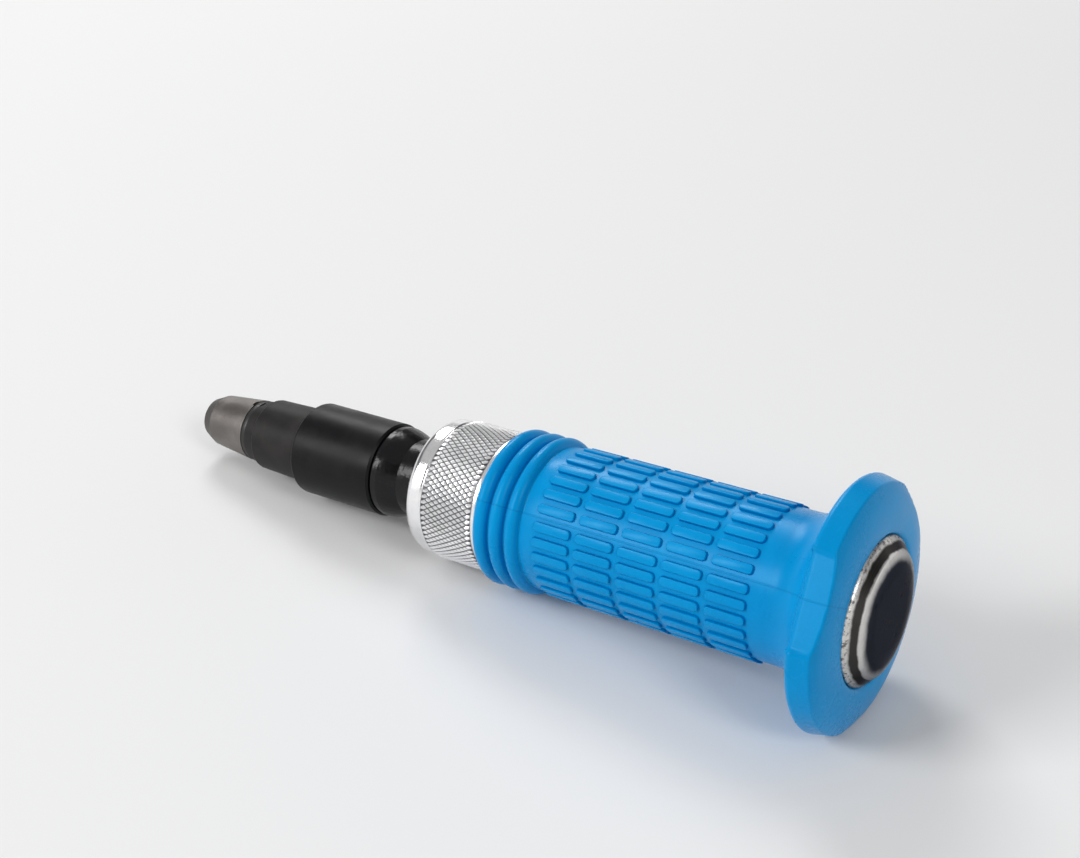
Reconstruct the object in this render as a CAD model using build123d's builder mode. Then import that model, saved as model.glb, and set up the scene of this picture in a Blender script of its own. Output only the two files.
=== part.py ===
"""Hand impact driver: striking barrel in a moulded grip with a guard, cam spindle and bit holder.

Millimetres. The tool's axis is X: the striking face looks along +X from the origin, and the
bit socket opens towards -X. The moulding's parting plane is turned as the tool lies, +Z up.
"""
import os
from math import atan2, cos, degrees, pi, radians, sin, sqrt

from build123d import *

os.makedirs("parts", exist_ok=True)

# Fits
running_clearance = 0.05
drive_clearance = 0.07
axial_clearance = 0.10
bond_gap = 0.04
face_gap = 0.25
overrun = 1.0

# Cam action
stroke = 8.0
cam_turn = 18.0
shaft_radius = 10.0
pin_radius = 2.5
pin_setback = 4.8
pin_recess = 0.15
window_clearance = 0.30
spindle_tail = 10.0
stroke_margin = 1.7

# Striking barrel
barrel_wall = 5.45
head_step = 2.1
head_length = 13.0
head_crown = 0.8
head_crown_drop = 5.6
head_bevel = 2.8
head_bevel_drop = 3.2
head_edge_round = 1.2
head_solid = 40.0
nose_wall = 2.55
nose_land = 1.05
mouth_chamfer = 0.5

# Moulded grip
grip_length = 97.0
grip_wall = 2.56
ridge_count = 3
ridge_width = 3.6
ridge_height = 1.8
ridge_gap = 1.0
brick_columns = 5
brick_rows_per_half = 15
brick_length = 10.0
brick_pitch = 11.65
brick_width = 2.5
brick_height = 0.65
brick_draft = 0.3
brick_start = 3.4
seam_angle = 148.0
seam_gap_angle = 13.8

# Guard
guard_reach = 11.9
guard_band = 4.3
guard_band_fall = 0.9
guard_slope = 1.0
guard_slope_fall = 2.0
guard_front_round = 1.4
guard_dome = 2.4
crest_setback = 3.4
crest_reach = 1.2
lip_depth = 0.8
flat_count = 3
flat_step = 1.0
flat_angle = 45.0

# Knurled ring and its snap ring
ring_gap = 0.3
ring_length = 22.0
ring_wall = 2.1
knurl_height = 0.45
ring_rear_band = 1.2
ring_front_band = 3.1
ring_nose_length = 2.3
ring_nose_depth = 2.0
ring_nose_bulge = 0.45
ring_edge_round = 0.3
ring_recess_depth = 3.5
ring_web = 2.5
ring_recess_wall = 1.0
snap_thickness = 1.1
snap_groove_depth = 0.9
snap_groove_play = 0.05
snap_reach = 1.3
snap_gap_angle = 40.0

# Spindle
flange_radius = 11.9
flange_thickness = 2.0
flange_edge_round = 0.6
cone_length = 5.3
cone_bulge = 0.25
drive_side = 12.7
drive_length = 15.5
drive_corner = 1.6
drive_chamfer = 1.0
seal_section = 0.9
seal_sides = 10
seal_groove_width = 2.0
seal_squeeze = 0.02
seal_land = 2.4

# Spring and washer
washer_thickness = 1.5
washer_bore_radius = 5.0
spring_wire_radius = 1.1
spring_turns = 6
spring_sides = 8
spring_bore_gap = 0.45

# Drive ball
drive_ball_radius = 2.0
drive_ball_rise = 0.85
drive_ball_setback = 7.5
drive_ball_well = 8.0
drive_ball_wire = 0.3
drive_ball_turns = 4
ball_spring_sides = 8

# Bit holder
holder_radius = 12.4
holder_body_length = 26.5
holder_edge_round = 0.9
holder_socket_play = 1.0
shank_rear_radius = 10.2
shank_front_radius = 9.7
shank_length = 16.6
shank_edge_round = 0.6
neck_rear_radius = 8.7
neck_front_radius = 8.5
neck_length = 3.4
nose_length = 12.8
nose_rear_radius = 8.4
nose_front_radius = 7.1
tip_length = 3.6
tip_radius = 5.5
hex_across = 8.1
hex_depth = 20.0
hex_lead = 0.5

# Bit ball and its ring
clip_groove_width = 1.6
clip_groove_depth = 1.15
clip_play = 0.08
clip_thickness = 0.95
clip_gap_angle = 50.0
bit_ball_radius = 1.75
bit_ball_seat_radius = 1.5

# Radii from the shaft outwards
bore_radius = shaft_radius + running_clearance
barrel_radius = bore_radius + barrel_wall
nose_radius = bore_radius + nose_wall
head_radius = barrel_radius + head_step
grip_bore_radius = barrel_radius + bond_gap
grip_radius = grip_bore_radius + grip_wall
head_pocket_radius = head_radius + bond_gap
guard_radius = grip_radius + guard_reach
crest_radius = head_radius + crest_reach
flare_radius = guard_reach - guard_front_round
ring_bore_radius = barrel_radius + running_clearance
ring_radius = ring_bore_radius + ring_wall
knurl_radius = ring_radius + knurl_height
ring_web_radius = nose_radius + running_clearance
ring_recess_radius = ring_radius - ring_nose_depth - ring_recess_wall
snap_groove_radius = nose_radius - snap_groove_depth
snap_inner_radius = snap_groove_radius + running_clearance
snap_outer_radius = nose_radius + snap_reach

# Stations along the axis, from the striking face to the bit socket
crest_x = -crest_setback
lip_x = crest_x - lip_depth
shoulder_x = -head_length
grip_front_x = crest_x - grip_length
ring_rear_x = grip_front_x - ring_gap
ring_front_x = ring_rear_x - ring_length
web_front_x = ring_front_x + ring_recess_depth
web_rear_x = web_front_x + ring_web
barrel_step_x = web_rear_x + axial_clearance
snap_rear_x = web_front_x - axial_clearance
snap_front_x = snap_rear_x - snap_thickness
mouth_x = snap_front_x - snap_groove_play - nose_land
bottom_x = -head_solid
pin_x = ring_rear_x - pin_setback
spindle_rear_x = pin_x + pin_radius + spindle_tail
cone_rear_x = mouth_x - stroke - stroke_margin
flange_rear_x = cone_rear_x - cone_length
flange_front_x = flange_rear_x - flange_thickness
drive_end_x = flange_front_x - drive_length
holder_rear_x = flange_front_x - face_gap
socket_end_x = drive_end_x - holder_socket_play
holder_step_x = holder_rear_x - holder_body_length
shank_front_x = holder_step_x - shank_length
neck_front_x = shank_front_x - neck_length
clip_front_x = neck_front_x - clip_groove_width
nose_front_x = clip_front_x - nose_length
tip_x = nose_front_x - tip_length
hex_end_x = tip_x + hex_depth

# Striking barrel: solid steel head, blind bore, stepped nose with the snap ring's groove
with BuildPart() as barrel:
    with BuildSketch(Plane.XY):
        with BuildLine():
            Polyline(
                (0, 0),
                (0, head_radius - head_bevel_drop - head_crown_drop),
            )
            TangentArc(
                (0, head_radius - head_bevel_drop - head_crown_drop),
                (-head_crown, head_radius - head_bevel_drop),
                tangent=(0, 1),
            )
            Polyline(
                (-head_crown, head_radius - head_bevel_drop),
                (-head_crown - head_bevel, head_radius),
                (shoulder_x, head_radius),
                (shoulder_x, barrel_radius),
                (barrel_step_x, barrel_radius),
                (barrel_step_x, nose_radius),
                (snap_rear_x + snap_groove_play, nose_radius),
                (snap_rear_x + snap_groove_play, snap_groove_radius),
                (snap_front_x - snap_groove_play, snap_groove_radius),
                (snap_front_x - snap_groove_play, nose_radius),
                (mouth_x + mouth_chamfer, nose_radius),
                (mouth_x, nose_radius - mouth_chamfer),
                (mouth_x, bore_radius + mouth_chamfer),
                (mouth_x + mouth_chamfer, bore_radius),
                (bottom_x, bore_radius),
                (bottom_x, 0),
                (0, 0),
            )
        make_face()
    revolve(axis=Axis.X)
    rims = barrel.edges().filter_by(GeomType.CIRCLE)
    fillet(rims.filter_by_position(Axis.X, -head_length / 2, -head_crown / 2), radius=head_edge_round)
    with Locations((pin_x, 0, 0)):
        Cylinder(pin_radius, 2 * head_radius, mode=Mode.SUBTRACT)
barrel.part.label = "barrel"
export_step(barrel.part, "parts/barrel.step")

# Cross pin through the barrel wall and the spindle's window
pin_half_length = barrel_radius - pin_recess
with BuildPart() as cross_pin:
    with Locations((pin_x, 0, 0)):
        Cylinder(pin_radius, 2 * pin_half_length)
    chamfer(cross_pin.edges().filter_by(GeomType.CIRCLE), length=pin_recess)
cross_pin.part.label = "cross_pin"
export_step(cross_pin.part, "parts/cross_pin.step")

# Moulded grip: ridged front, rows of raised bricks, flare and shallow domed guard with three flats
front_face_x = crest_x - guard_dome - guard_band - guard_front_round
flare_start_x = front_face_x - flare_radius
flare_top_radius = grip_radius + flare_radius
round_drop = guard_front_round * (1 - cos(radians(45)))
band_front_x = front_face_x + guard_front_round
band_rear_x = crest_x - guard_dome
band_rear_radius = guard_radius - guard_band_fall
slope_rear_x = band_rear_x + guard_slope
slope_rear_radius = band_rear_radius - guard_slope_fall
flat_half_length = (guard_radius - flat_step) * sin(radians(flat_angle / 2))
flat_radius = (guard_radius - flat_step) * cos(radians(flat_angle / 2))
ridge_rear_x = grip_front_x + ridge_count * (ridge_width + ridge_gap)
brick_front_x = ridge_rear_x + brick_start
brick_row_angle = (180 - seam_gap_angle) / (brick_rows_per_half - 1)
brick_root = grip_radius - grip_wall / 4
brick_top = grip_radius + brick_height


def around(radius, angle):
    """A point of the YZ plane at a radius and an angle from +Y towards +Z."""
    return (radius * cos(radians(angle)), radius * sin(radians(angle)))


def brick_section(angle):
    """Corners of one brick's tapered section, seen along the axis."""
    half_root_angle = degrees((brick_width / 2 + brick_draft) / brick_root)
    half_top_angle = degrees((brick_width / 2 - brick_draft) / brick_top)
    return [
        around(brick_root, angle - half_root_angle),
        around(brick_top, angle - half_top_angle),
        around(brick_top, angle + half_top_angle),
        around(brick_root, angle + half_root_angle),
    ]


with BuildPart() as grip_sleeve:
    with BuildSketch(Plane.XY):
        with BuildLine():
            TangentArc((crest_x, crest_radius), (lip_x, head_pocket_radius), tangent=(0, -1))
            Polyline(
                (lip_x, head_pocket_radius),
                (shoulder_x - bond_gap, head_pocket_radius),
                (shoulder_x - bond_gap, grip_bore_radius),
                (grip_front_x, grip_bore_radius),
                (grip_front_x, grip_radius),
            )
            for i in range(ridge_count):
                ridge_x = grip_front_x + i * (ridge_width + ridge_gap)
                ThreePointArc(
                    (ridge_x, grip_radius),
                    (ridge_x + ridge_width / 2, grip_radius + ridge_height),
                    (ridge_x + ridge_width, grip_radius),
                )
                Line(
                    (ridge_x + ridge_width, grip_radius),
                    (ridge_x + ridge_width + ridge_gap, grip_radius),
                )
            Line((ridge_rear_x, grip_radius), (flare_start_x, grip_radius))
            TangentArc(
                (flare_start_x, grip_radius), (front_face_x, flare_top_radius), tangent=(1, 0)
            )
            ThreePointArc(
                (front_face_x, flare_top_radius),
                (front_face_x + round_drop, guard_radius - round_drop),
                (band_front_x, guard_radius),
            )
            Line((band_front_x, guard_radius), (band_rear_x, band_rear_radius))
            Line((band_rear_x, band_rear_radius), (slope_rear_x, slope_rear_radius))
            TangentArc((crest_x, crest_radius), (slope_rear_x, slope_rear_radius), tangent=(0, 1))
        make_face()
    revolve(axis=Axis.X)
    for i in range(flat_count):
        flat_centre = seam_angle + i * 360 / flat_count
        with BuildSketch(Plane.XY.rotated((flat_centre, 0, 0))):
            with BuildLine():
                Polyline(
                    (crest_x, flat_radius),
                    (crest_x, guard_radius + overrun),
                    (front_face_x - overrun, guard_radius + overrun),
                    (front_face_x - overrun, flat_radius - guard_front_round),
                    (front_face_x, flat_radius - guard_front_round),
                )
                ThreePointArc(
                    (front_face_x, flat_radius - guard_front_round),
                    (front_face_x + round_drop, flat_radius - round_drop),
                    (band_front_x, flat_radius),
                )
                Line((band_front_x, flat_radius), (crest_x, flat_radius))
            make_face()
        extrude(amount=flat_half_length, both=True, mode=Mode.SUBTRACT)
    for i in range(brick_columns):
        with BuildSketch(Plane.YZ.offset(brick_front_x + i * brick_pitch)):
            for half in (0, 180):
                for row in range(brick_rows_per_half):
                    angle = seam_angle + half + seam_gap_angle / 2 + row * brick_row_angle
                    with BuildLine():
                        Polyline(*brick_section(angle), close=True)
                    make_face()
        extrude(amount=brick_length)
grip_sleeve.part.label = "grip_sleeve"
export_step(grip_sleeve.part, "parts/grip_sleeve.step")

# Knurled ring: bored for the barrel, with a web that the snap ring holds back
knurl_rear_x = ring_rear_x - ring_rear_band
knurl_front_x = ring_front_x + ring_nose_length + ring_front_band
ring_nose_x = ring_front_x + ring_nose_length / 2
ring_nose_radius = ring_radius - ring_nose_depth / 2
with BuildPart() as knurled_ring:
    with BuildSketch(Plane.XY):
        with BuildLine():
            Polyline(
                (ring_rear_x, ring_bore_radius),
                (ring_rear_x, ring_radius - ring_edge_round),
                (ring_rear_x - ring_edge_round, ring_radius),
                (knurl_rear_x, ring_radius),
                (knurl_rear_x - knurl_height, knurl_radius),
                (knurl_front_x + knurl_height, knurl_radius),
                (knurl_front_x, ring_radius),
                (ring_front_x + ring_nose_length, ring_radius),
            )
            ThreePointArc(
                (ring_front_x + ring_nose_length, ring_radius),
                (ring_nose_x - ring_nose_bulge, ring_nose_radius + ring_nose_bulge),
                (ring_front_x, ring_radius - ring_nose_depth),
            )
            Polyline(
                (ring_front_x, ring_radius - ring_nose_depth),
                (ring_front_x, ring_recess_radius),
                (web_front_x, ring_recess_radius),
                (web_front_x, ring_web_radius),
                (web_rear_x, ring_web_radius),
                (web_rear_x, ring_bore_radius),
                (ring_rear_x, ring_bore_radius),
            )
        make_face()
    revolve(axis=Axis.X)
knurled_ring.part.label = "knurled_ring"
export_step(knurled_ring.part, "parts/knurled_ring.step")

# Snap ring in the barrel's nose groove, open over a gap at the bottom
with BuildPart() as snap_ring:
    with BuildSketch(Plane.XY.rotated((snap_gap_angle / 2 - 90, 0, 0))):
        with BuildLine():
            Polyline(
                (snap_front_x, snap_inner_radius),
                (snap_front_x, snap_outer_radius),
                (snap_rear_x, snap_outer_radius),
                (snap_rear_x, snap_inner_radius),
                close=True,
            )
        make_face()
    revolve(axis=Axis.X, revolution_arc=360 - snap_gap_angle)
snap_ring.part.label = "snap_ring"
export_step(snap_ring.part, "parts/snap_ring.step")

# Cam spindle: shaft with a seal groove, flange, square drive, cam window and ball well
seal_x = pin_x - stroke - pin_radius - window_clearance - seal_land - seal_groove_width / 2
seal_mean_radius = bore_radius - seal_squeeze - seal_section
seal_floor_radius = seal_mean_radius - seal_section - seal_squeeze
drive_ball_x = flange_front_x - drive_ball_setback
drive_ball_z = drive_side / 2 + drive_ball_rise - drive_ball_radius
well_floor_z = drive_side / 2 - drive_ball_well
well_radius = drive_ball_radius + running_clearance
cam_plane = Plane(
    origin=(0, 0, 0),
    x_dir=(1, 0, 0),
    z_dir=(0, sin(radians(cam_turn)), cos(radians(cam_turn))),
)
cam_offset = sqrt(shaft_radius**2 - pin_radius**2) * sin(radians(cam_turn))
with BuildPart() as spindle:
    with BuildSketch(Plane.XY):
        with BuildLine():
            Polyline(
                (spindle_rear_x, 0),
                (spindle_rear_x, shaft_radius - mouth_chamfer),
                (spindle_rear_x - mouth_chamfer, shaft_radius),
                (seal_x + seal_groove_width / 2, shaft_radius),
                (seal_x + seal_groove_width / 2, seal_floor_radius),
                (seal_x - seal_groove_width / 2, seal_floor_radius),
                (seal_x - seal_groove_width / 2, shaft_radius),
                (cone_rear_x, shaft_radius),
            )
            ThreePointArc(
                (cone_rear_x, shaft_radius),
                (cone_rear_x - cone_length / 2, (shaft_radius + flange_radius) / 2 + cone_bulge),
                (flange_rear_x, flange_radius),
            )
            Line((flange_rear_x, flange_radius), (flange_front_x + flange_edge_round, flange_radius))
            TangentArc(
                (flange_front_x + flange_edge_round, flange_radius),
                (flange_front_x, flange_radius - flange_edge_round),
                tangent=(-1, 0),
            )
            Polyline(
                (flange_front_x, flange_radius - flange_edge_round),
                (flange_front_x, 0),
                (spindle_rear_x, 0),
            )
        make_face()
    revolve(axis=Axis.X)
    with BuildSketch(Plane.YZ.offset(drive_end_x)):
        RectangleRounded(drive_side, drive_side, drive_corner)
    extrude(amount=drive_length)
    chamfer(spindle.edges().group_by(Axis.X)[0], length=drive_chamfer)
    with BuildSketch(cam_plane):
        with Locations((pin_x, cam_offset), (pin_x, -cam_offset), (pin_x - stroke, 0)):
            Circle(pin_radius + window_clearance)
        make_hull()
    extrude(amount=2 * shaft_radius, both=True, mode=Mode.SUBTRACT)
    with Locations((drive_ball_x, 0, well_floor_z)):
        Cylinder(
            well_radius,
            drive_ball_well + overrun,
            align=(Align.CENTER, Align.CENTER, Align.MIN),
            mode=Mode.SUBTRACT,
        )
spindle.part.label = "spindle"
export_step(spindle.part, "parts/spindle.step")

# Seal ring in the spindle's groove
with BuildPart() as spindle_seal:
    with BuildSketch(Plane.XY):
        with Locations((seal_x, seal_mean_radius)):
            RegularPolygon(seal_section, seal_sides)
    revolve(axis=Axis.X)
spindle_seal.part.label = "spindle_seal"
export_step(spindle_seal.part, "parts/spindle_seal.step")

# Thrust washer between the spindle's tail and the return spring
washer_x = spindle_rear_x + washer_thickness
with BuildPart() as thrust_washer:
    with BuildSketch(Plane.YZ.offset(spindle_rear_x)):
        Circle(shaft_radius - running_clearance)
        Circle(washer_bore_radius, mode=Mode.SUBTRACT)
    extrude(amount=washer_thickness)
thrust_washer.part.label = "thrust_washer"
export_step(thrust_washer.part, "parts/thrust_washer.step")


def coil_points(start, end, radius, turns, across):
    """Points and tangents at half turns of a coil between two ends of its axis."""
    axis = (end - start).normalized()
    side = across - axis * across.dot(axis)
    side = side.normalized()
    other = axis.cross(side)
    rise = (end - start).length / (2 * pi * turns)
    stations = []
    for k in range(2 * turns + 1):
        angle = k * pi
        point = start + axis * (rise * angle) + (side * cos(angle) + other * sin(angle)) * radius
        tangent = (axis * rise + (other * cos(angle) - side * sin(angle)) * radius).normalized()
        stations.append((point, tangent))
    return stations


def biarc_middle(first, second):
    """Where two equal-armed arcs meet between two stations, and their tangent there."""
    (p, t), (q, u) = first, second
    chord = q - p
    arms = t + u
    a, b, c = arms.dot(arms) - 4, -2 * chord.dot(arms), chord.dot(chord)
    arm = (-b - sqrt(b * b - 4 * a * c)) / (2 * a)
    near, far = p + t * arm, q - u * arm
    return (near + far) * 0.5, (far - near).normalized()


def coil_gap(stations, radius, turns, wire):
    """Least clear distance between one turn of the wire and the next."""
    pitch = (stations[-1][0] - stations[0][0]).length / turns
    return pitch * cos(atan2(pitch, 2 * pi * radius)) - 2 * wire


# Return spring between the thrust washer and the bottom of the bore
spring_radius = bore_radius - spring_bore_gap - spring_wire_radius
spring_stations = coil_points(
    Vector(washer_x + spring_wire_radius + axial_clearance, 0, 0),
    Vector(bottom_x - spring_wire_radius - axial_clearance, 0, 0),
    spring_radius,
    spring_turns,
    Vector(0, 0, 1),
)
with BuildPart() as return_spring:
    with BuildLine() as spring_path:
        for first, second in zip(spring_stations, spring_stations[1:]):
            middle, heading = biarc_middle(first, second)
            TangentArc(first[0], middle, tangent=first[1])
            TangentArc(middle, second[0], tangent=heading)
    with BuildSketch(Plane(origin=spring_stations[0][0], z_dir=spring_stations[0][1])):
        RegularPolygon(spring_wire_radius, spring_sides)
    sweep(path=spring_path.wires()[0], clean=False)
return_spring.part.label = "return_spring"
export_step(return_spring.part, "parts/return_spring.step")
spring_gap = coil_gap(spring_stations, spring_radius, spring_turns, spring_wire_radius)
print("return_spring least self-gap", round(spring_gap, 2), "mm")

# Drive ball that clicks into the bit holder, and its spring
with BuildPart() as drive_ball:
    with Locations((drive_ball_x, 0, drive_ball_z)):
        Sphere(drive_ball_radius)
drive_ball.part.label = "drive_ball"
export_step(drive_ball.part, "parts/drive_ball.step")

ball_spring_radius = well_radius - drive_clearance - drive_ball_wire
ball_spring_stations = coil_points(
    Vector(drive_ball_x, 0, well_floor_z + drive_ball_wire + running_clearance),
    Vector(drive_ball_x, 0, drive_ball_z - drive_ball_radius - drive_ball_wire),
    ball_spring_radius,
    drive_ball_turns,
    Vector(1, 0, 0),
)
with BuildPart() as drive_ball_spring:
    with BuildLine() as ball_spring_path:
        for first, second in zip(ball_spring_stations, ball_spring_stations[1:]):
            middle, heading = biarc_middle(first, second)
            TangentArc(first[0], middle, tangent=first[1])
            TangentArc(middle, second[0], tangent=heading)
    with BuildSketch(Plane(origin=ball_spring_stations[0][0], z_dir=ball_spring_stations[0][1])):
        RegularPolygon(drive_ball_wire, ball_spring_sides)
    sweep(path=ball_spring_path.wires()[0], clean=False)
drive_ball_spring.part.label = "drive_ball_spring"
export_step(drive_ball_spring.part, "parts/drive_ball_spring.step")
ball_spring_gap = coil_gap(
    ball_spring_stations, ball_spring_radius, drive_ball_turns, drive_ball_wire
)
print("drive_ball_spring least self-gap", round(ball_spring_gap, 2), "mm")

# Bit holder: square socket behind, hex socket in front, groove and seat for the bit ball
clip_groove_radius = nose_rear_radius - clip_groove_depth
clip_x = neck_front_x - clip_groove_width / 2
bit_ball_z = clip_groove_radius - bit_ball_radius
bit_ball_bore = bit_ball_radius + running_clearance / 2
ledge_z = bit_ball_z - sqrt(bit_ball_radius**2 - bit_ball_seat_radius**2) - running_clearance / 2
socket_half = drive_side / 2 + drive_clearance
slot_half = sqrt(drive_ball_radius**2 - (socket_half - drive_ball_z) ** 2) + face_gap
slot_top = drive_ball_z + drive_ball_radius + axial_clearance
lead_radius = hex_across / 2 / cos(radians(30)) + hex_lead / 2
with BuildPart() as bit_holder:
    with BuildSketch(Plane.XY):
        with BuildLine():
            Polyline(
                (holder_rear_x, 0),
                (holder_rear_x, holder_radius - mouth_chamfer),
                (holder_rear_x - mouth_chamfer, holder_radius),
                (holder_step_x + holder_edge_round, holder_radius),
            )
            TangentArc(
                (holder_step_x + holder_edge_round, holder_radius),
                (holder_step_x, holder_radius - holder_edge_round),
                tangent=(-1, 0),
            )
            Polyline(
                (holder_step_x, holder_radius - holder_edge_round),
                (holder_step_x, shank_rear_radius),
                (shank_front_x + shank_edge_round, shank_front_radius),
            )
            TangentArc(
                (shank_front_x + shank_edge_round, shank_front_radius),
                (shank_front_x, shank_front_radius - shank_edge_round),
                tangent=(-1, 0),
            )
            Polyline(
                (shank_front_x, shank_front_radius - shank_edge_round),
                (shank_front_x, neck_rear_radius),
                (neck_front_x, neck_front_radius),
                (neck_front_x, clip_groove_radius),
                (clip_front_x, clip_groove_radius),
                (clip_front_x, nose_rear_radius),
                (nose_front_x, nose_front_radius),
                (tip_x, tip_radius),
                (tip_x, lead_radius),
                (tip_x + hex_lead, lead_radius - hex_lead),
                (tip_x + hex_lead, 0),
                (holder_rear_x, 0),
            )
        make_face()
    revolve(axis=Axis.X)
    with BuildSketch(Plane.YZ.offset(socket_end_x)):
        RectangleRounded(2 * socket_half, 2 * socket_half, drive_corner)
    extrude(amount=holder_rear_x - socket_end_x + overrun, mode=Mode.SUBTRACT)
    with BuildSketch(Plane.YZ.offset(tip_x)):
        RegularPolygon(hex_across / 2, 6, major_radius=False)
    extrude(amount=hex_depth, mode=Mode.SUBTRACT)
    with BuildSketch(Plane.XY):
        with Locations((drive_ball_x, 0)):
            Circle(slot_half)
            Rectangle(
                holder_rear_x - drive_ball_x + overrun,
                2 * slot_half,
                align=(Align.MIN, Align.CENTER),
            )
    extrude(amount=slot_top, mode=Mode.SUBTRACT)
    with BuildSketch(Plane.XY):
        with Locations((clip_x, 0)):
            Circle(bit_ball_seat_radius)
    extrude(amount=clip_groove_radius, mode=Mode.SUBTRACT)
    with BuildSketch(Plane.XY.offset(ledge_z)):
        with Locations((clip_x, 0)):
            Circle(bit_ball_bore)
    extrude(amount=clip_groove_radius, mode=Mode.SUBTRACT)
bit_holder.part.label = "bit_holder"
export_step(bit_holder.part, "parts/bit_holder.step")

# Bit ball and the open spring clip that presses it into the hex socket
with BuildPart() as bit_ball:
    with Locations((clip_x, 0, bit_ball_z)):
        Sphere(bit_ball_radius)
bit_ball.part.label = "bit_ball"
export_step(bit_ball.part, "parts/bit_ball.step")

with BuildPart() as ball_clip:
    with BuildSketch(Plane.XY.rotated((clip_gap_angle / 2 - 90, 0, 0))):
        with BuildLine():
            Polyline(
                (neck_front_x - clip_play, clip_groove_radius + clip_play),
                (neck_front_x - clip_play, clip_groove_radius + clip_play + clip_thickness),
                (clip_front_x + clip_play, clip_groove_radius + clip_play + clip_thickness),
                (clip_front_x + clip_play, clip_groove_radius + clip_play),
                close=True,
            )
        make_face()
    revolve(axis=Axis.X, revolution_arc=360 - clip_gap_angle)
ball_clip.part.label = "ball_clip"
export_step(ball_clip.part, "parts/ball_clip.step")
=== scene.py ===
"""Hand impact driver lying on a pale floor, seen from the guard end.

Metres. The tool's axis is X: the striking face is at the origin and looks along +X, and the
bit socket opens towards -X. Sizes are written in millimetres and scaled by mm.
"""
from math import atan2, cos, pi, radians, sin, sqrt

import bmesh
import bpy
from mathutils import Matrix, Vector


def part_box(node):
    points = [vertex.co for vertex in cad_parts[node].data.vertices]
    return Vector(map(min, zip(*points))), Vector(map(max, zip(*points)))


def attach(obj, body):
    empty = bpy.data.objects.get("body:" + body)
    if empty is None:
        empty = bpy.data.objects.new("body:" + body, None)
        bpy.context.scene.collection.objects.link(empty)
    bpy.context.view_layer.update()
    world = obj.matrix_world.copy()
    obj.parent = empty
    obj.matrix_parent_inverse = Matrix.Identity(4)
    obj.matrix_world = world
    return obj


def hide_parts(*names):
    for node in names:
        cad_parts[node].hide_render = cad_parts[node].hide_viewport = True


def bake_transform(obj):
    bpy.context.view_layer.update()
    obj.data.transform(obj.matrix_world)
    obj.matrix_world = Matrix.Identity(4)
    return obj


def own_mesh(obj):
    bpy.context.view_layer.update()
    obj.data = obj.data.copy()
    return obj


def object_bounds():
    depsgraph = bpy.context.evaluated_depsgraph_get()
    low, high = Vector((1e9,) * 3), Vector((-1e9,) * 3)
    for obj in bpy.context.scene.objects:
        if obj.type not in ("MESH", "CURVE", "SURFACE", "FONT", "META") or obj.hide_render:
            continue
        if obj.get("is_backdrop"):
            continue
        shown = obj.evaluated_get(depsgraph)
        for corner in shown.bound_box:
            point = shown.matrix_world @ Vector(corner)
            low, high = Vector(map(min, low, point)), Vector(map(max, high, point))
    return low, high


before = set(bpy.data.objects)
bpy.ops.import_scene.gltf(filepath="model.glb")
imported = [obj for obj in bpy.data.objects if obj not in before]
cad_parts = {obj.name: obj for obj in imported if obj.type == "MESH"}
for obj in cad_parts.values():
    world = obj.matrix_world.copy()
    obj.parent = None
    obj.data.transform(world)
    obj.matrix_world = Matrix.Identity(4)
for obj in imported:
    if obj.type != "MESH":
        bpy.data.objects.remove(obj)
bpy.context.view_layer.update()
mm = 0.001
scene = bpy.context.scene
scene.view_settings.view_transform = "Standard"

# Camera: a long lens to the right of the guard, looking down along the grip, a little rolled.
camera_place = Vector((119.06, -291.76, 209.78)) * mm
camera_turn, camera_fall, camera_roll = radians(35.85), radians(27.33), radians(-3.57)
camera_data = bpy.data.cameras.new("camera")
camera_data.sensor_fit = "HORIZONTAL"
camera_data.sensor_width = 36
camera_data.lens = 56.0
camera_data.clip_start = 0.01
camera = bpy.data.objects.new("camera", camera_data)
camera.matrix_world = (
    Matrix.Translation(camera_place)
    @ Matrix.Rotation(camera_turn, 4, "Z")
    @ Matrix.Rotation(pi / 2 - camera_fall, 4, "X")
    @ Matrix.Rotation(camera_roll, 4, "Z")
)
scene.collection.objects.link(camera)
scene.camera = camera


# Floor and light: the tool lies on the guard's rim and the knurled ring, so the floor slopes
# along it. Two large soft lamps stand at the left, one in front and one behind, and a third looks
# at the guard. Far from the tool the floor fades into the pale background.
class Reading:
    """One output of a shader node. Arithmetic on it adds Math nodes."""

    def __init__(self, finish, socket):
        self.finish, self.socket = finish, socket

    def math(self, operation, *values):
        return self.finish.add("ShaderNodeMath", {"operation": operation}, values)

    def __add__(self, other):
        return self.math("ADD", self, other)

    def __sub__(self, other):
        return self.math("SUBTRACT", self, other)

    def __rsub__(self, other):
        return self.math("SUBTRACT", other, self)

    def __mul__(self, other):
        return self.math("MULTIPLY", self, other)

    def __truediv__(self, other):
        return self.math("DIVIDE", self, other)

    def __abs__(self):
        return self.math("ABSOLUTE", self)

    __radd__, __rmul__ = __add__, __mul__

    def step(self, low, high, start=0.0, end=1.0):
        """A soft step from start to end while the reading goes from low to high."""
        settings = {"interpolation_type": "SMOOTHSTEP"}
        return self.finish.add("ShaderNodeMapRange", settings, (self, low, high, start, end))


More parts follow.
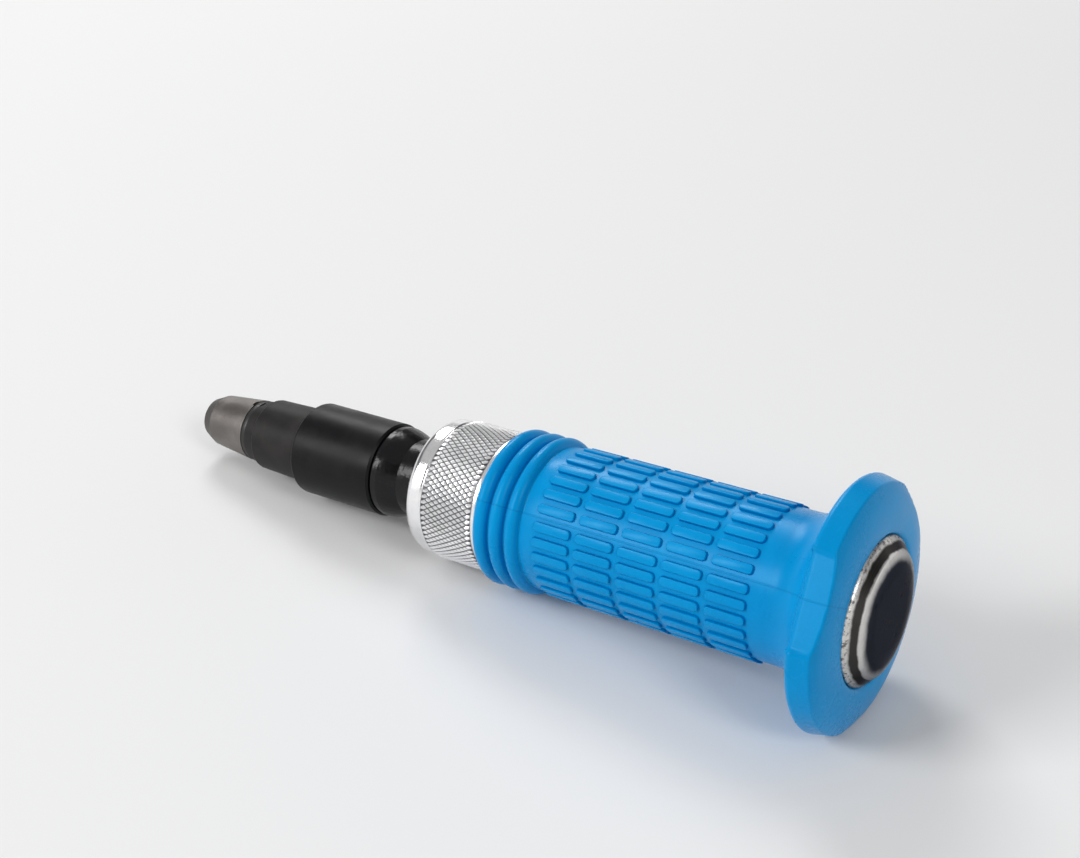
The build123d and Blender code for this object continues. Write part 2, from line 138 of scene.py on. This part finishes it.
class Finish:
    """A material or the sky: its nodes, and the shader that they feed."""

    def __init__(self, owner, shader="ShaderNodeBsdfPrincipled", **constants):
        owner.use_nodes = True
        self.owner, self.tree = owner, owner.node_tree
        self.tree.nodes.clear()
        kind = "World" if shader == "ShaderNodeBackground" else "Material"
        self.output = self.tree.nodes.new("ShaderNodeOutput" + kind)
        self.shader = self.tree.nodes.new(shader)
        self.tree.links.new(self.shader.outputs[0], self.output.inputs["Surface"])
        for name, value in constants.items():
            self.shader.inputs[name.replace("_", " ")].default_value = value

    def plug(self, socket, value):
        if isinstance(value, Reading):
            self.tree.links.new(value.socket, socket)
        elif value is not None:
            socket.default_value = value

    def add(self, kind, settings=(), values=(), out=0):
        """A node of a kind: its settings come first, then its sockets by order or by name."""
        node = self.tree.nodes.new(kind)
        for name, value in dict(settings).items():
            if name == "stops":
                ramp = node.color_ramp
                while len(ramp.elements) < len(value):
                    ramp.elements.new(0.5)
                for element, (place, colour) in zip(ramp.elements, value):
                    element.position, element.color = place, (*colour, 1)
            else:
                setattr(node, name, value)
        pairs = values.items() if isinstance(values, dict) else enumerate(values)
        for key, value in pairs:
            self.plug(node.inputs[key], value)
        return Reading(self, node.outputs[out])

    def feed(self, **values):
        for name, value in values.items():
            self.plug(self.shader.inputs[name.replace("_", " ")], value)
        return self

    def place(self, out="Object"):
        return self.add("ShaderNodeTexCoord", out=out)

    def apart(self, vector):
        node = self.add("ShaderNodeSeparateXYZ", values=(vector,)).socket.node
        return [Reading(self, socket) for socket in node.outputs]

    def noise(self, vector, scale, detail=3.0, roughness=0.5):
        values = {"Vector": vector, "Scale": scale, "Detail": detail, "Roughness": roughness}
        return self.add("ShaderNodeTexNoise", values=values)

    def mix(self, amount, first, second):
        """A colour between two colours, each a triple or a reading."""
        node = self.tree.nodes.new("ShaderNodeMix")
        node.data_type = "RGBA"
        self.plug(node.inputs["Factor"], amount)
        for key, value in ((6, first), (7, second)):
            self.plug(node.inputs[key], value if isinstance(value, Reading) else (*value, 1))
        return Reading(self, node.outputs[2])

    def bump(self, height, distance, strength=1.0, over=None):
        values = {"Strength": strength, "Distance": distance, "Height": height, "Normal": over}
        return self.add("ShaderNodeBump", values=values)

    def seen(self):
        """1 for a ray that shows the background, to the camera or by way of a mirror or glass."""
        rays = self.add("ShaderNodeLightPath", out="Is Camera Ray").socket.node.outputs
        kinds = ("Camera", "Glossy", "Transmission")
        return sum(Reading(self, rays["Is %s Ray" % kind]) for kind in kinds)


guard_rest = Vector((-10.1, 0, -28.24)) * mm
ring_rest = Vector((-116.85, 0, -18.1)) * mm
floor_reach, fade_near, fade_far = 4.0, 0.5, 1.2
floor_mesh = bmesh.new()
bmesh.ops.create_grid(floor_mesh, x_segments=1, y_segments=1, size=floor_reach)
slope = atan2(ring_rest.z - guard_rest.z, guard_rest.x - ring_rest.x)
bmesh.ops.rotate(floor_mesh, verts=floor_mesh.verts, matrix=Matrix.Rotation(slope, 3, "Y"))
bmesh.ops.translate(floor_mesh, verts=floor_mesh.verts, vec=guard_rest)
floor_data = bpy.data.meshes.new("floor")
floor_mesh.to_mesh(floor_data)
floor = bpy.data.objects.new("floor", floor_data)
scene.collection.objects.link(floor)
floor_paint = Finish(bpy.data.materials.new("floor_paint"), Roughness=0.85, IOR=1.3)
floor_paint.shader.inputs["Base Color"].default_value = (0.82, 0.82, 0.82, 1)
distance = floor_paint.add(
    "ShaderNodeVectorMath", {"operation": "LENGTH"}, (floor_paint.place(),), out="Value"
)
floor_paint.feed(Alpha=1 - floor_paint.seen() * distance.step(fade_near, fade_far))
floor_data.materials.append(floor_paint.owner)
floor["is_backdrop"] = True

scene.world = bpy.data.worlds.new("sky")
sky = Finish(scene.world, "ShaderNodeBackground", Strength=0.5)
height = sky.apart(sky.place("Generated"))[2]
dark_band = height.step(0.34, 0.44) * (1 - height.step(0.66, 0.78))
lights = sky.mix(dark_band * 0.85, (1, 1, 1), (0.05, 0.05, 0.06))
sky.feed(Color=sky.mix(sky.seen() * (1 - height.step(0.20, 0.32)), lights, (1.8, 1.8, 1.8)))


def lamp(name, direction, size, power, distance=2.0):
    """A square soft lamp that looks at the middle of the grip."""
    data = bpy.data.lights.new(name, "AREA")
    data.shape, data.size, data.energy = "SQUARE", size, power
    target = Vector((-60, 0, 0)) * mm
    place = target + Vector(direction).normalized() * distance
    item = bpy.data.objects.new(name, data)
    turn = (place - target).to_track_quat("Z", "Y").to_matrix().to_4x4()
    item.matrix_world = Matrix.Translation(place) @ turn
    scene.collection.objects.link(item)


lamp("lamp_front", (-0.52, -0.735, 0.60), 0.76, 22.6)
lamp("lamp_back", (-0.52, 0.524, 0.70), 0.76, 15.6)
lamp("lamp_head", (0.85, -0.35, 0.60), 0.67, 9.6)


# Striking barrel: one steel bar, turned, hardened and polished. Its bevelled head shows in the
# guard's hole, marked by hammer blows; the rest is under the grip and the ring.
def radius_of(finish, across, up):
    return finish.add("ShaderNodeMath", {"operation": "SQRT"}, (across * across + up * up,))


def turned_steel(name, colour, dark, roughness, pitch, depth, **constants):
    """Bright turned metal: fine rings round the axis and a cloudy sheen."""
    finish = Finish(bpy.data.materials.new(name), Metallic=1.0, **constants)
    finish.where = finish.place()
    along, across, up = finish.apart(finish.where)
    finish.radius = radius_of(finish, across, up)
    rings = finish.add("ShaderNodeCombineXYZ", values=(along, finish.radius, 0.0))
    lines = finish.noise(rings, 1 / (pitch * mm), detail=4.0)
    clouds = finish.noise(finish.where, 140.0, detail=5.0, roughness=0.6)
    finish.colour = finish.mix(clouds.step(0.35, 0.7), colour, dark)
    finish.gloss = roughness + 0.16 * clouds.step(0.3, 0.75) + 0.05 * lines
    finish.relief = finish.bump(lines, depth * mm, 0.35)
    return finish.feed(Base_Color=finish.colour, Roughness=finish.gloss, Normal=finish.relief)


def wear(node, material):
    """Puts a material on a CAD node."""
    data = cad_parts[node].data
    data.materials.clear()
    data.materials.append(material)


# The head's reflections are tinted grey, darker at grazing angles: a painted dark reflection on
# the bevel.
head_dark_reflection_tint = (0.45, 0.45, 0.47, 1)
head = turned_steel(
    "polished_head_steel", (0.66, 0.65, 0.63), (0.54, 0.53, 0.52), 0.08, 0.35, 0.04,
    Specular_Tint=head_dark_reflection_tint,
)
dents = head.noise(head.where, 260.0, detail=3.0) - 0.5
# The face inside about 12 to 14 mm is painted near black: a painted dark reflection. The hammer
# pits only vary that dark paint between two tones.
face = 1 - (head.radius / mm + 1.8 * dents).step(12.0, 14.2)
reach = head.radius / mm + 0.9 * dents
# A band on the bevel is painted near black: a painted dark reflection between the bright edges.
painted_reflection_band = reach.step(14.7, 15.1) * (1 - reach.step(16.2, 16.8))
rim = reach.step(16.3, 17.1)
chips = head.noise(head.where, 900.0, detail=4.0, roughness=0.7)
pits = head.add("ShaderNodeTexVoronoi", values={"Vector": head.where, "Scale": 300.0})
hollow = (1 - pits.step(0.0, 0.4)) * head.noise(head.where, 230.0).step(0.54, 0.66)
painted_dark_reflection_face = head.mix(hollow, (0.034, 0.038, 0.046), (0.020, 0.022, 0.027))
colour = head.mix(face, head.colour, painted_dark_reflection_face)
colour = head.mix(painted_reflection_band * 0.95, colour, (0.020, 0.018, 0.017))
head.feed(
    Base_Color=head.mix(rim * chips.step(0.5, 0.62) * 0.8, colour, (0.06, 0.055, 0.05)),
    Roughness=head.gloss + 0.25 * rim * chips + 0.05 * face,
    Normal=head.bump(1 - 0.5 * hollow + 1.2 * rim * chips, 0.15 * mm, 0.6, over=head.relief),
)
wear("barrel", head.owner)


# Moulded grip: one sleeve of blue vinyl over the barrel, with three ridges in front, rows of
# raised bricks either side of the mould's parting line, and a shallow domed guard with flats.
grip_radius, crest_radius, guard_radius = 18.1, 18.8, 29.99
ridge_height, ridge_width, ridge_gap = 1.8, 3.6, 1.0
seam_angle, flat_turn = radians(148), radians(21.75)


def arc(centre, size, start, end, steps):
    """Points of an elliptic arc, from a start to an end angle in degrees, ends included."""
    angles = [radians(start + (end - start) * k / steps) for k in range(steps + 1)]
    return [(centre[0] + size[0] * cos(a), centre[1] + size[1] * sin(a)) for a in angles]


def spun(outline, steps, closed=True):
    """A bmesh turned about X from (x, radius) points in millimetres."""
    mesh = bmesh.new()
    corners = [mesh.verts.new((x * mm, 0, r * mm)) for x, r in outline]
    pairs = list(zip(corners, corners[1:])) + ([(corners[-1], corners[0])] if closed else [])
    edges = [mesh.edges.new(pair) for pair in pairs]
    bmesh.ops.spin(
        mesh, geom=corners + edges, cent=(0, 0, 0), axis=(1, 0, 0), angle=2 * pi, steps=steps,
        use_merge=True,
    )
    bmesh.ops.remove_doubles(mesh, verts=mesh.verts, dist=0.002 * mm)
    bmesh.ops.recalc_face_normals(mesh, faces=mesh.faces)
    return mesh


def finished(mesh, name, material, body, slot, *nodes, flat=None):
    """Makes a piece of a bmesh, smooth but for the faces that flat names, in place of CAD nodes.

    It rides on the body, or on none when no body is given.
    """
    for face in mesh.faces:
        face.smooth = not (flat and flat(face))
    data = bpy.data.meshes.new(name)
    mesh.to_mesh(data)
    data.materials.append(material)
    piece = bpy.data.objects.new(name, data)
    scene.collection.objects.link(piece)
    if body:
        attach(piece, body)
    if nodes:
        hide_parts(*nodes)
    return piece


grip_front, grip_rear, head_bore_end = -100.4, -4.2, -13.04
bore_radius, head_bore_radius = 15.54, 17.64
body_front, body_step, flare_start, flare_radius = -86.9, 4.99, -22.0, 10.5
band_front, band_rear, band_fall, edge_radius = -10.1, -5.8, 0.9, 1.4
dome_radius, dome_centre, lip_radius, lip_centre = 25.3, -28.7, 1.241, -4.641
grip_outline = [(grip_rear, head_bore_radius), (head_bore_end, head_bore_radius)]
grip_outline += [(head_bore_end, bore_radius), (grip_front, bore_radius), (grip_front, 17.2)]
for i in range(3):
    middle = grip_front + ridge_width / 2 + i * (ridge_width + ridge_gap)
    low = 0.25 if i == 0 else -0.1
    size = (-ridge_width / 2, ridge_height + 0.1)
    grip_outline += [(middle - ridge_width / 2 - low * 0.4, grip_radius - 0.25)]
    grip_outline += arc((middle, grip_radius - 0.1), size, 8, 172, 12)
    grip_outline += [(middle + ridge_width / 2 + 0.04, grip_radius - 0.25)]
grip_outline += [(body_front + body_step * k, grip_radius) for k in range(13)]
grip_outline += arc(
    (flare_start, grip_radius + flare_radius), (flare_radius, flare_radius), -90, 0, 18
)
grip_outline += arc(
    (band_front, guard_radius - edge_radius), (-edge_radius, edge_radius), 0, 90, 6
)[1:]
band_stations, crease_stations = (-9.8, -8.7, -7.2, -6.2, -5.95), (-5.7, -5.5, -5.2, -4.95)
fall = band_fall / (band_rear - band_front)
grip_outline += [(x, guard_radius - fall * (x - band_front)) for x in band_stations]
crease_radius, crease_fall = guard_radius - band_fall + 0.01, 2.0
grip_outline += [(x, crease_radius - crease_fall * (x - band_rear)) for x in crease_stations]
grip_outline += arc((dome_centre, crest_radius), (dome_radius, dome_radius), 18.4, 0, 14)
grip_outline += arc((lip_centre, crest_radius), (lip_radius, lip_radius), -12, -60, 5)
grip_shape = spun(grip_outline, 240)


flat_reach, flat_start = 26.8, -12.5


def flat_limit(x):
    """How far from the axis the guard's three flats lie at a station, rounded in front."""
    if x < flat_start:
        return guard_radius
    if x < band_front:
        rise = sqrt(max(edge_radius**2 - (x - band_front) ** 2, 0.0))
        return flat_reach - edge_radius + rise
    return flat_reach


def from_flat(vert):
    """Angle of a vertex from the middle of the nearest flat."""
    return (atan2(vert.co.z, vert.co.y) - seam_angle + pi / 3) % (2 * pi / 3) - pi / 3


step_width, column_width, step_front, step_radius = radians(0.3), radians(1.5), -12.1, 25.3
steps = set()
for vert in grip_shape.verts:
    turn = from_flat(vert)
    off = abs(turn) - flat_turn
    if abs(off) < column_width / 2:
        near = step_width / 2 if off > 0 else -step_width / 2
        swing = Matrix.Rotation((near - off) * (1 if turn > 0 else -1), 3, "X")
        vert.co = swing @ vert.co
        if vert.co.x > step_front * mm and vert.co.yz.length > step_radius * mm:
            steps.add(vert)
    turn = from_flat(vert)
    middle = atan2(vert.co.z, vert.co.y) - turn
    above = vert.co.yz.length * cos(turn) - flat_limit(vert.co.x / mm) * mm
    if abs(turn) < flat_turn and above > 0:
        vert.co -= above * Vector((0, cos(middle), sin(middle)))

brick_length, brick_width, corner, brick_root = 10.3, 2.5, 0.85, 0.25
brick_columns, brick_rows, brick_pitch, brick_front = 5, 15, 11.65, -83.35
first_row = radians(6.9)
brick_row = (pi - 2 * first_row) / (brick_rows - 1)
bricks = bmesh.new()
bmesh.ops.create_grid(bricks, x_segments=1, y_segments=1, size=0.5)
bmesh.ops.scale(bricks, verts=bricks.verts, vec=(brick_length, brick_width, 1))
bmesh.ops.bevel(
    bricks, geom=bricks.verts, offset=corner, offset_type="OFFSET", affect="VERTICES",
    segments=3, profile=0.5, material=-1,
)
top = bricks.faces[:]
for rise, draw in ((0.75, 0.14), (0.14, 0.14), (0.06, 0.32)):
    fresh = bmesh.ops.extrude_face_region(bricks, geom=top)["geom"]
    top = [item for item in fresh if isinstance(item, bmesh.types.BMFace)]
    ring = [item for item in fresh if isinstance(item, bmesh.types.BMVert)]
    bmesh.ops.scale(bricks, verts=ring, vec=(1 - draw / brick_length, 1 - draw / brick_width, 1))
    bmesh.ops.translate(bricks, verts=ring, vec=(0, 0, rise))
brick_place = (brick_front + brick_length / 2, 0, grip_radius - brick_root)
bmesh.ops.translate(bricks, verts=bricks.verts, vec=brick_place)
bmesh.ops.scale(bricks, verts=bricks.verts, vec=(mm, mm, mm))
bmesh.ops.recalc_face_normals(bricks, faces=bricks.faces)


def repeat(mesh, matrices):
    """Adds a copy of all that a bmesh holds for each matrix."""
    whole = mesh.verts[:] + mesh.edges[:] + mesh.faces[:]
    for matrix in matrices:
        fresh = bmesh.ops.duplicate(mesh, geom=whole)["geom"]
        moved = [item for item in fresh if isinstance(item, bmesh.types.BMVert)]
        bmesh.ops.transform(mesh, matrix=matrix, verts=moved)


columns = range(1, brick_columns)
repeat(bricks, [Matrix.Translation((column * brick_pitch * mm, 0, 0)) for column in columns])
to_first_row = Matrix.Rotation(seam_angle + first_row - pi / 2, 3, "X")
bmesh.ops.rotate(bricks, verts=bricks.verts, matrix=to_first_row)
turns = [half + row * brick_row for half in (0, pi) for row in range(brick_rows)]
repeat(bricks, [Matrix.Rotation(turn, 4, "X") for turn in turns[1:]])
brick_data = bpy.data.meshes.new("bricks")
bricks.to_mesh(brick_data)
grip_shape.from_mesh(brick_data)

# The vinyl's reflections are tinted blue: a painted blue reflection standing for blue
# surroundings.
vinyl_blue_reflection_tint = (0.35, 0.75, 1.0, 1)
vinyl = Finish(
    bpy.data.materials.new("blue_vinyl"), IOR=1.5, Specular_IOR_Level=0.18,
    Specular_Tint=vinyl_blue_reflection_tint,
)
place = vinyl.place()
across, up = vinyl.apart(place)[1:]
patches = vinyl.noise(place, 45.0, detail=4.0, roughness=0.6)
grain = vinyl.noise(place, 900.0, detail=2.0)
ripple = vinyl.noise(place, 160.0, detail=2.0)
from_seam = abs(across * sin(seam_angle) - up * cos(seam_angle)) / mm
seam = 1 - from_seam.step(0.10, 0.28)
colour = vinyl.mix(patches.step(0.3, 0.75), (0.0, 0.252, 0.585), (0.0, 0.286, 0.640))
colour = vinyl.mix(seam * 0.35, colour, (0.002, 0.168, 0.430))
vinyl.feed(
    Base_Color=colour,
    Roughness=0.22 + 0.12 * patches.step(0.35, 0.7) + 0.08 * grain,
    Normal=vinyl.bump(seam + 0.10 * grain + 0.25 * ripple, 0.12 * mm, 0.5),
)
finished(
    grip_shape, "blue_grip", vinyl.owner, "barrel_body", "blue_grip", "grip_sleeve",
    flat=lambda face: all(vert in steps for vert in face.verts),
)


# Knurled ring: turned from bar, diamond knurled between a narrow and a wide plain band, rounded
# in front and nickel chromed. It runs on the barrel's nose and is held by a snap ring.
ring_rear, ring_front, knurl_rear, knurl_front = -100.7, -122.7, -101.9, -117.3
ring_radius, knurl_depth, knurl_rows, knurl_columns = 17.65, 0.45, 13, 154
ring_bore, nose_bore, nose_front, lip_bore, lip_front = 15.55, 12.65, -116.7, 14.65, -119.2
ring_outline = [(ring_rear, ring_bore), (ring_rear, ring_radius - 0.3)]
ring_outline += [(ring_rear - 0.1, ring_radius - 0.09), (ring_rear - 0.3, ring_radius)]
ring_outline += [(knurl_rear + 0.1, ring_radius)]
knurl_step = (knurl_rear - knurl_front) / knurl_rows
ring_outline += [(knurl_rear - k * knurl_step, ring_radius) for k in range(knurl_rows + 1)]
groove_radius = ring_radius - 0.28
ring_outline += [(knurl_front - 0.1, groove_radius), (knurl_front - 0.45, groove_radius)]
ring_outline += [(knurl_front - 0.6, ring_radius), (knurl_front - 0.8, ring_radius)]
ring_outline += [(ring_front + 2.6, ring_radius)]
ring_outline += arc((ring_front + 2.3, ring_radius - 2.0), (-2.3, 2.0), 90, 6, 12)
ring_outline += [(ring_front, 15.5), (ring_front, lip_bore), (lip_front, lip_bore)]
ring_outline += [(lip_front, nose_bore), (nose_front, nose_bore), (nose_front, ring_bore)]
ring_shape = spun(ring_outline, knurl_columns)
tops, floors = set(), set()
for vert in ring_shape.verts:
    row = (knurl_rear * mm - vert.co.x) / (knurl_step * mm)
    column = (atan2(vert.co.z, vert.co.y) - pi / 2) / (2 * pi) * knurl_columns
    inside = -0.01 < row < knurl_rows + 0.01 and vert.co.yz.length > 17 * mm
    if inside and 0.5 < row < knurl_rows - 0.5 and (round(row) + round(column)) % 2:
        vert.co.yz *= 1 + knurl_depth / ring_radius
        tops.add(vert)
    elif inside:
        floors.add(vert)
knurl_faces = [f for f in ring_shape.faces if all(v in tops or v in floors for v in f.verts)]
for face in knurl_faces:
    low = [vert for vert in face.verts if vert in floors]
    if len(low) == 2 and len(face.verts) == 4:
        bmesh.ops.connect_verts(ring_shape, verts=low)
ring_chrome = turned_steel("ring_chrome", (0.90, 0.90, 0.91), (0.80, 0.80, 0.81), 0.12, 0.5, 0.02)
peak = (ring_chrome.radius / mm).step(ring_radius + 0.02, ring_radius + 0.16)
along = ring_chrome.apart(ring_chrome.where)[0] / mm
after_front = along.step(knurl_front - 0.2, knurl_front + 0.2)
knurled = after_front * (1 - along.step(knurl_rear - 0.2, knurl_rear + 0.2))
# The knurl's valleys are painted dark grey: painted shade in the hollows, with some dirt.
ring_chrome.feed(
    Base_Color=ring_chrome.mix(knurled * (1 - peak), ring_chrome.colour, (0.10, 0.10, 0.105)),
    Roughness=ring_chrome.gloss + 0.14 * knurled,
)
finished(
    ring_shape, "diamond_knurled_ring", ring_chrome.owner, "ring_body", "ring_chrome",
    "knurled_ring", flat=lambda face: any(vert in tops for vert in face.verts),
)


# Blackened steel: the cam spindle with its flange, and the bit holder that slips over its square.
# The oxide is thick and glossy near the ring, and rubbed down to grey steel on the holder's nose.
def blackened(name, colour, worn, roughness, crinkle):
    """Black oxide on steel, with uneven gloss and small raised crinkles."""
    finish = Finish(bpy.data.materials.new(name), IOR=1.5, Specular_IOR_Level=0.25)
    place = finish.place()
    clouds = finish.noise(place, 90.0, detail=5.0, roughness=0.65)
    grain = finish.noise(place, 700.0, detail=3.0)
    lumps = finish.noise(place, 330.0, detail=3.0, roughness=0.6)
    finish.feed(
        Base_Color=finish.mix(clouds.step(0.45, 0.8), colour, worn),
        Roughness=roughness + 0.18 * clouds.step(0.3, 0.8) + 0.06 * grain,
        Normal=finish.bump(grain * 0.3 + lumps, crinkle * mm, 0.5),
    )
    return finish


spindle = blackened(
    "spindle_black_oxide", (0.003, 0.003, 0.004), (0.008, 0.008, 0.008), 0.11, 0.30
)
wear("spindle", spindle.owner)

holder = Finish(bpy.data.materials.new("holder_oxide_and_steel"), IOR=1.5, Specular_IOR_Level=0.15)
place = holder.place()
along, across, up = holder.apart(place)
station = along / mm
radius = radius_of(holder, across, up)
clouds = holder.noise(place, 80.0, detail=5.0, roughness=0.65)
grain = holder.noise(place, 650.0, detail=3.0)
rings = holder.add("ShaderNodeCombineXYZ", values=(along, radius, 0.0))
tool_marks = holder.noise(rings, 2200.0, detail=3.0)
front = 1 - station.step(-166.2, -165.2)
nose = 1 - station.step(-187.0, -186.7)
tip = 1 - station.step(-200.0, -199.6)
colour = holder.mix(clouds.step(0.4, 0.8), (0.004, 0.004, 0.005), (0.009, 0.009, 0.009))
brown = holder.mix(clouds.step(0.3, 0.7), (0.014, 0.013, 0.013), (0.028, 0.026, 0.025))
worn = holder.mix(clouds.step(0.3, 0.7), (0.150, 0.138, 0.130), (0.235, 0.218, 0.205))
colour = holder.mix(nose, holder.mix(front, colour, brown), worn)
colour = holder.mix(tip * 0.75, colour, (0.055, 0.050, 0.048))
holder.feed(
    Base_Color=colour,
    Metallic=0.9 * nose,
    Roughness=0.30 + 0.10 * front + 0.16 * clouds.step(0.3, 0.8) + 0.05 * grain,
    Normal=holder.bump(grain * 0.4 + tool_marks * (0.3 + nose), 0.05 * mm, 0.5),
)
wear("bit_holder", holder.owner)


# Springs: hardened wire wound cold. One stands in the bore behind the thrust washer, the other in
# the well under the drive ball.
hard_steel = turned_steel(
    "hard_spring_steel", (0.36, 0.36, 0.37), (0.26, 0.26, 0.27), 0.24, 0.4, 0.03
)


def coil(radius, wire, length, turns):
    """A wire wound round Z, upwards from the origin."""
    mesh = bmesh.new()
    bmesh.ops.create_circle(mesh, cap_ends=True, segments=12, radius=wire)
    bmesh.ops.rotate(mesh, verts=mesh.verts, matrix=Matrix.Rotation(pi / 2, 3, "X"))
    bmesh.ops.translate(mesh, verts=mesh.verts, vec=(radius - wire, 0, wire))
    steps = 36 * turns
    bmesh.ops.spin(
        mesh, geom=mesh.verts[:] + mesh.edges[:] + mesh.faces[:], cent=(0, 0, 0), axis=(0, 0, 1),
        dvec=(0, 0, (length - 2 * wire) / steps), angle=2 * pi * turns, steps=steps,
    )
    bmesh.ops.recalc_face_normals(mesh, faces=mesh.faces)
    return mesh


low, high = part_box("return_spring")
spring_wire, spring_turns, spring_travel = 1.1 * mm, 6, 8.0 * mm
length = high.x - low.x
spring_shape = coil((high.z - low.z) / 2, spring_wire, length, spring_turns)
bmesh.ops.rotate(spring_shape, verts=spring_shape.verts, matrix=Matrix.Rotation(pi / 2, 3, "Y"))
bmesh.ops.translate(spring_shape, verts=spring_shape.verts, vec=(low.x, 0, 0))
spring = finished(
    spring_shape, "return_coil", hard_steel.owner, "barrel_body", "spring_steel", "return_spring"
)
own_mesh(spring)

low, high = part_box("drive_ball_spring")
ball_wire, ball_turns, ball_travel = 0.3 * mm, 4, 0.85 * mm
length = high.z - low.z
middle = (low.x + high.x) / 2
ball_shape = coil((high.x - low.x) / 2, ball_wire, length, ball_turns)
bmesh.ops.translate(ball_shape, verts=ball_shape.verts, vec=(middle, 0, low.z))
spring = finished(
    ball_shape, "drive_ball_coil", hard_steel.owner, "spindle_body", "spring_steel",
    "drive_ball_spring",
)
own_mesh(spring)


# Ball clip: a blackened strip of spring steel rolled into an open ring, snapped into the holder's
# groove.
low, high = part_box("ball_clip")
clip_thickness, clip_corner, clip_half_gap = 0.95 * mm, 0.15 * mm, radians(25)
clip_shape = bmesh.new()
bmesh.ops.create_grid(clip_shape, x_segments=1, y_segments=1, size=0.5)
bmesh.ops.scale(clip_shape, verts=clip_shape.verts, vec=(high.x - low.x, clip_thickness, 1))
bmesh.ops.bevel(
    clip_shape, geom=clip_shape.verts, offset=clip_corner, offset_type="OFFSET", affect="VERTICES",
    segments=2, profile=0.5, material=-1,
)
middle = (low.x + high.x) / 2
clip_place = (middle, high.z - clip_thickness / 2, 0)
bmesh.ops.translate(clip_shape, verts=clip_shape.verts, vec=clip_place)
bmesh.ops.rotate(
    clip_shape, verts=clip_shape.verts, matrix=Matrix.Rotation(clip_half_gap - pi / 2, 3, "X")
)
bmesh.ops.spin(
    clip_shape, geom=clip_shape.verts[:] + clip_shape.edges[:] + clip_shape.faces[:],
    cent=(0, 0, 0), axis=(1, 0, 0), angle=2 * (pi - clip_half_gap), steps=62,
)
bmesh.ops.recalc_face_normals(clip_shape, faces=clip_shape.faces)
clip_steel = blackened(
    "blackened_clip_steel", (0.030, 0.030, 0.031), (0.06, 0.06, 0.06), 0.30, 0.03
)
clip = finished(clip_shape, "groove_clip", clip_steel.owner, None, "clip_steel", "ball_clip")
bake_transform(clip)


# Small parts inside: the hardened cross pin, washer and snap ring, the two ground balls, and the
# rubber seal in the spindle's groove.
for node in ("cross_pin", "thrust_washer", "snap_ring"):
    wear(node, hard_steel.owner)
ball_steel = turned_steel(
    "ground_ball_steel", (0.72, 0.72, 0.73), (0.62, 0.62, 0.63), 0.08, 0.6, 0.01
)
for node in ("drive_ball", "bit_ball"):
    wear(node, ball_steel.owner)

rubber = Finish(bpy.data.materials.new("seal_rubber"), IOR=1.5)
dust = rubber.noise(rubber.place(), 500.0, detail=4.0)
rubber.feed(
    Base_Color=rubber.mix(dust.step(0.4, 0.8), (0.012, 0.012, 0.012), (0.035, 0.034, 0.033)),
    Roughness=0.5 + 0.25 * dust,
    Normal=rubber.bump(dust, 0.03 * mm, 0.4),
)
wear("spindle_seal", rubber.owner)

low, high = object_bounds()
